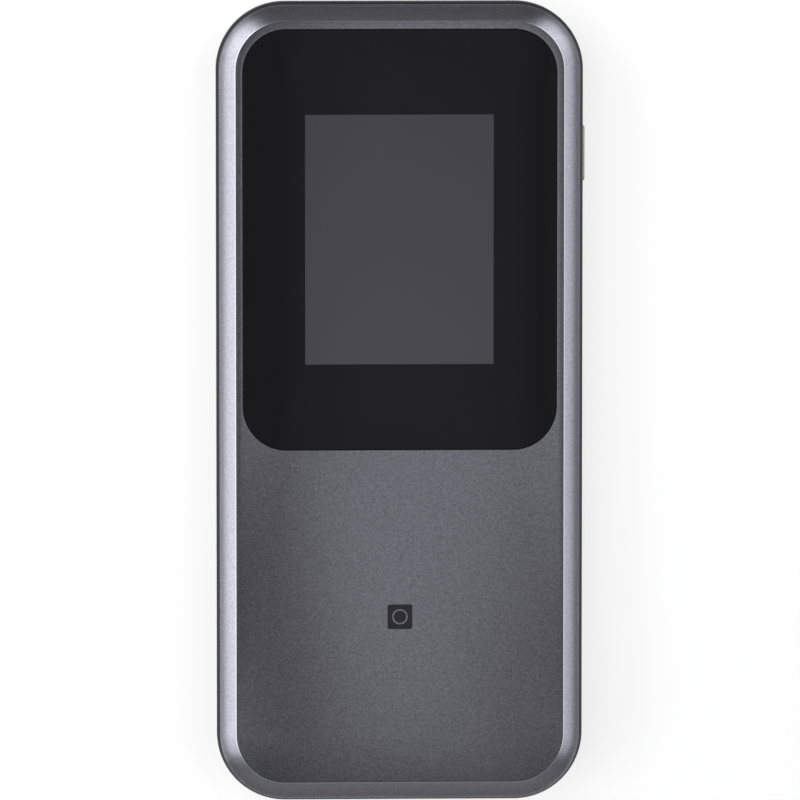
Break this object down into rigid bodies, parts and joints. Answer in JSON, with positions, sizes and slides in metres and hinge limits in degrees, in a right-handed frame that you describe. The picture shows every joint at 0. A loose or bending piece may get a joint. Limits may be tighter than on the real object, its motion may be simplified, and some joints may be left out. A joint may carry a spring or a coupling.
{
  "type": "mobile hotspot",
  "caption": "Slim pocket mobile hotspot with a sloped metallic frame, black display window, painted front, side power key, SIM tray and USB-C port.",
  "frame": {"origin": "centre of the flat rear face, on which the hotspot lies", "axes": "+Z out of the display, +Y towards the top of the display, +X towards the side with the power key"},
  "size_m": [0.0717, 0.1562, 0.0158],
  "materials": {
    "frame_paint": "satin metallic paint on a moulding",
    "plate_paint": "satin paint with a fine sparkle",
    "cover_plastic": "fine spark texture, satin",
    "black_glass": "polished, printed black behind",
    "display": "polarizer, switched off",
    "light_guide": "white moulded frame",
    "foam": "matt foam tape",
    "moulding": "matt black moulding",
    "circuit_board": "green solder mask",
    "flex_circuit": "amber polyimide",
    "tinned_steel": "stamped, satin",
    "steel": "plated, satin",
    "chip": "matt moulded package",
    "silicone": "matt pad",
    "graphite": "dark coated sheet",
    "cell_wrap": "dark satin pouch",
    "tape": "white stretch tape",
    "copper": "bare strip"
  },
  "bodies": {
    "housing": {"mid_frame": "frame_paint", "front_plate": "plate_paint", "rear_cover": "cover_plastic", "display_window": "black_glass", "lcd_panel": "display", "lcd_backlight": "light_guide", "window_gasket": "foam", "lcd_gasket": "foam", "lcd_flex": "flex_circuit", "lcd_connector": "moulding", "chassis": "moulding", "main_board": "circuit_board", "modem_shield": "tinned_steel", "wifi_shield": "tinned_steel", "power_shield": "tinned_steel", "modem_chip": "chip", "wifi_chip": "chip", "thermal_pad": "silicone", "heat_spreader": "graphite", "sim_socket": "tinned_steel", "battery_cell": "cell_wrap", "battery_board": "circuit_board", "battery_lead": "flex_circuit", "battery_connector": "moulding", "battery_tape_left": "tape", "battery_tape_right": "tape", "usb_board": "circuit_board", "usb_shell": "steel", "usb_tongue": "moulding", "board_link_flex": "flex_circuit", "power_switch_body": "tinned_steel", "reset_switch_body": "tinned_steel", "antenna_top": "copper", "antenna_left": "copper", "antenna_right": "copper", "antenna_bottom": "copper", "chassis_screw_1": "steel", "chassis_screw_2": "steel", "chassis_screw_3": "steel", "chassis_screw_4": "steel", "chassis_screw_5": "steel", "chassis_screw_6": "steel", "board_screw_1": "steel", "board_screw_2": "steel", "board_screw_3": "steel", "board_screw_4": "steel", "usb_board_screw_1": "steel", "usb_board_screw_2": "steel"},
    "power_key": {"power_key": "frame_paint"},
    "power_switch_plunger": {"power_switch_plunger": "moulding"},
    "reset_plunger": {"reset_plunger": "moulding"},
    "sim_tray": {"sim_tray": "frame_paint"}
  },
  "joints": [
    {"name": "power_key_press", "type": "slide", "parent": "housing", "child": "power_key", "axis": [-1, 0, 0], "range_m": [0, 0.00035], "stiffness_N_per_m": 2000},
    {"name": "power_switch_press", "type": "slide", "parent": "housing", "child": "power_switch_plunger", "axis": [-1, 0, 0], "range_m": [0, 0.00035]},
    {"name": "reset_press", "type": "slide", "parent": "housing", "child": "reset_plunger", "axis": [0, 1, 0], "range_m": [0, 0.00025], "stiffness_N_per_m": 2000},
    {"name": "sim_tray_slide", "type": "slide", "parent": "housing", "child": "sim_tray", "axis": [-1, 0, 0], "range_m": [0, 0.018]}
  ],
  "couplings": [
    {"joint": "power_switch_press", "follows": "power_key_press", "ratio": 1}
  ]
}
